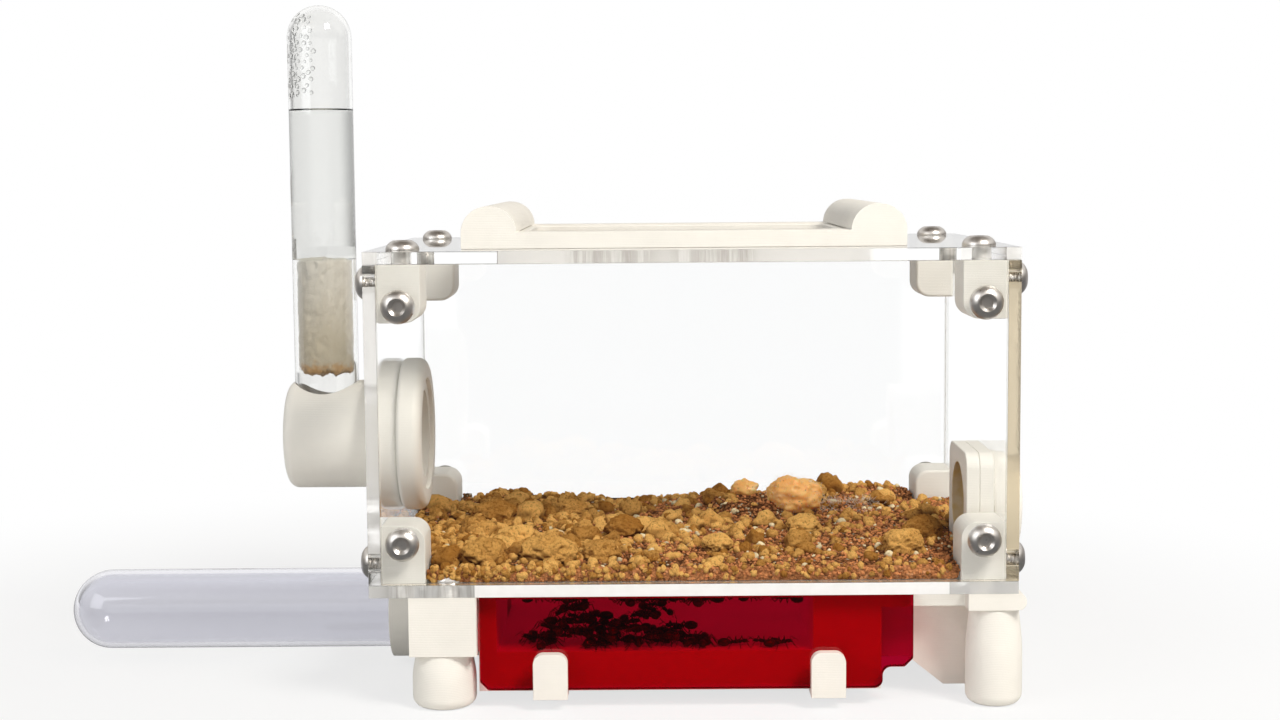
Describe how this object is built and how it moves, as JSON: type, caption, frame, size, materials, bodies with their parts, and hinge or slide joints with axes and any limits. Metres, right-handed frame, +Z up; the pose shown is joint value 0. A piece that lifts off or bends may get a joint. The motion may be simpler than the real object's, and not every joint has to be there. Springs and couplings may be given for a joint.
{
  "type": "ant habitat",
  "caption": "Clear foraging box on a printed nest block with a red viewing window, vented lid, upright water tube feeder and a side test tube.",
  "frame": {"origin": "centre of the whole habitat's footprint, on the surface that the feet stand on", "axes": "+X along the box to its right, away from the feeder and side tube; +Y to the back; +Z up"},
  "size_m": [0.237, 0.1044, 0.1665],
  "materials": {
    "clear_acrylic": "clear, polished",
    "printed_white": "printed in fine layers",
    "red_acrylic": "tinted, polished",
    "stainless": "satin",
    "mesh_steel": "fine perforated sheet",
    "tube_clear": "clear, polished",
    "water": "clear liquid",
    "cotton": "fluffy",
    "soil": "crumbly grit"
  },
  "bodies": {
    "habitat": {"floor_panel": "clear_acrylic", "roof_panel": "clear_acrylic", "front_panel": "clear_acrylic", "back_panel": "clear_acrylic", "left_panel": "clear_acrylic", "right_panel": "clear_acrylic", "bracket_bottom_front_left": "printed_white", "bracket_bottom_front_right": "printed_white", "bracket_bottom_back_left": "printed_white", "bracket_bottom_back_right": "printed_white", "bracket_top_front_left": "printed_white", "bracket_top_front_right": "printed_white", "bracket_top_back_left": "printed_white", "bracket_top_back_right": "printed_white", "nest_body": "printed_white", "entry_collar": "printed_white", "port_collar": "printed_white", "port_plate": "printed_white", "foot_front_left": "printed_white", "foot_back_left": "printed_white", "foot_front_right": "printed_white", "foot_back_right": "printed_white", "front_screws": "stainless", "back_screws": "stainless", "left_screws": "stainless", "right_screws": "stainless", "roof_screws": "stainless", "floor_screws": "stainless", "nest_screws": "stainless", "soil_bed": "soil"},
    "lid": {"lid_frame": "printed_white", "vent_mesh": "mesh_steel", "mesh_clamp": "printed_white"},
    "feeder": {"feeder_elbow": "printed_white", "feeder_nut": "printed_white"},
    "filled_water_tube": {"water_tube": "tube_clear", "water": "water", "cotton_plug": "cotton"},
    "window": {"red_window": "red_acrylic"},
    "nest_tube": {"side_tube": "tube_clear"},
    "port_stopper": {"port_plug": "printed_white"}
  },
  "joints": [
    {"name": "lid_lift", "type": "slide", "parent": "habitat", "child": "lid", "axis": [0, 0, 1], "range_m": [0, 0.06]},
    {"name": "feeder_turn", "type": "hinge", "parent": "habitat", "child": "feeder", "pos_m": [-0.03595, 0, 0.059], "axis": [1, 0, 0], "range_deg": [-90, 90]},
    {"name": "water_tube_pull", "type": "slide", "parent": "feeder", "child": "filled_water_tube", "axis": [0, 0, 1], "range_m": [0, 0.03]},
    {"name": "window_slide", "type": "slide", "parent": "habitat", "child": "window", "axis": [1, 0, 0], "range_m": [0, 0.012]},
    {"name": "nest_tube_pull", "type": "slide", "parent": "habitat", "child": "nest_tube", "axis": [-1, 0, 0], "range_m": [0, 0.04]},
    {"name": "port_stopper_pull", "type": "slide", "parent": "habitat", "child": "port_stopper", "axis": [1, 0, 0], "range_m": [0, 0.02]}
  ]
}
